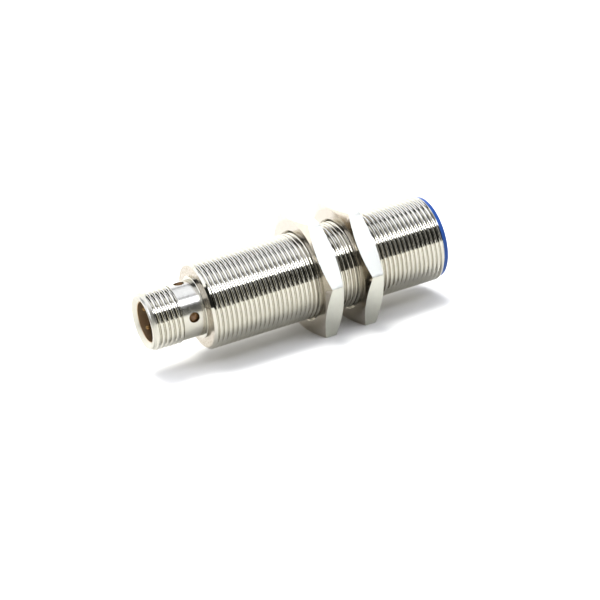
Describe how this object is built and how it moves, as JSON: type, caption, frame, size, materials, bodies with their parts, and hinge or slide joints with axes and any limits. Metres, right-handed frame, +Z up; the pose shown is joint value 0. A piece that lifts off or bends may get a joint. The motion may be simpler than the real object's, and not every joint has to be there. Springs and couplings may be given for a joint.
{
  "type": "inductive proximity sensor",
  "caption": "Cylindrical flush inductive proximity sensor: threaded nickel-plated barrel, flat plastic sensing face, hexagon lock nuts, threaded plug connector.",
  "frame": {"origin": "centre of the sensing face, on the sensor's axis", "axes": "+X along the axis, out of the sensing face; the body and connector run towards -X; +Z is up, and the lock nuts rest on flats that face -Z"},
  "size_m": [0.0645, 0.0278, 0.024],
  "materials": {
    "nickel": "nickel-plated, bright turned and threaded",
    "nut_nickel": "nickel-plated, satin flats and polished faces",
    "blue_plastic": "moulded, satin",
    "amber_plastic": "translucent, smoky amber",
    "black_plastic": "moulded, fine matt",
    "insert_plastic": "moulded, fine matt",
    "natural_plastic": "moulded, unfilled",
    "ferrite": "sintered, matt",
    "copper_wire": "enamelled wire",
    "shield_brass": "rolled strip",
    "laminate": "solder mask on glass laminate",
    "resistor_film": "glazed film",
    "capacitor_ceramic": "sintered",
    "seal_rubber": "smooth",
    "potting_resin": "cast, satin",
    "gold_plate": "gold-plated, polished",
    "wire_insulation": "smooth",
    "lamp_epoxy": "clear encapsulation"
  },
  "bodies": {
    "sensor_body": {"circuit_board": "laminate", "coil_bobbin": "natural_plastic", "coil_winding": "copper_wire", "coil_wire_1": "copper_wire", "coil_wire_2": "copper_wire", "connector_sleeve": "nickel", "contact_insert": "insert_plastic", "contact_pin_1": "gold_plate", "contact_pin_2": "gold_plate", "contact_pin_3": "gold_plate", "contact_pin_4": "gold_plate", "core_carrier": "natural_plastic", "ferrite_core": "ferrite", "filter_capacitor": "capacitor_ceramic", "housing_tube": "nickel", "lamp_board": "laminate", "light_guide": "amber_plastic", "oscillator_chip": "black_plastic", "output_resistor": "resistor_film", "output_transistor": "black_plastic", "pin_wire_1": "wire_insulation", "pin_wire_2": "wire_insulation", "pin_wire_3": "wire_insulation", "pin_wire_4": "wire_insulation", "potting_plug": "potting_resin", "sealing_ring": "seal_rubber", "sensing_cap": "blue_plastic", "shield_ring": "shield_brass", "status_lamp_1": "lamp_epoxy", "status_lamp_2": "lamp_epoxy", "status_lamp_3": "lamp_epoxy", "status_lamp_4": "lamp_epoxy", "suppressor_diode": "black_plastic", "trim_resistor": "resistor_film", "tuning_capacitor": "capacitor_ceramic"},
    "rear_nut": {"rear_lock_nut": "nut_nickel"},
    "front_nut": {"front_lock_nut": "nut_nickel"}
  },
  "joints": [
    {"name": "rear_nut_travel", "type": "slide", "parent": "sensor_body", "child": "rear_nut", "axis": [1, 0, 0], "range_m": [-0.022, 0.002]},
    {"name": "front_nut_travel", "type": "slide", "parent": "sensor_body", "child": "front_nut", "axis": [1, 0, 0], "range_m": [-0.002, 0.015]}
  ]
}
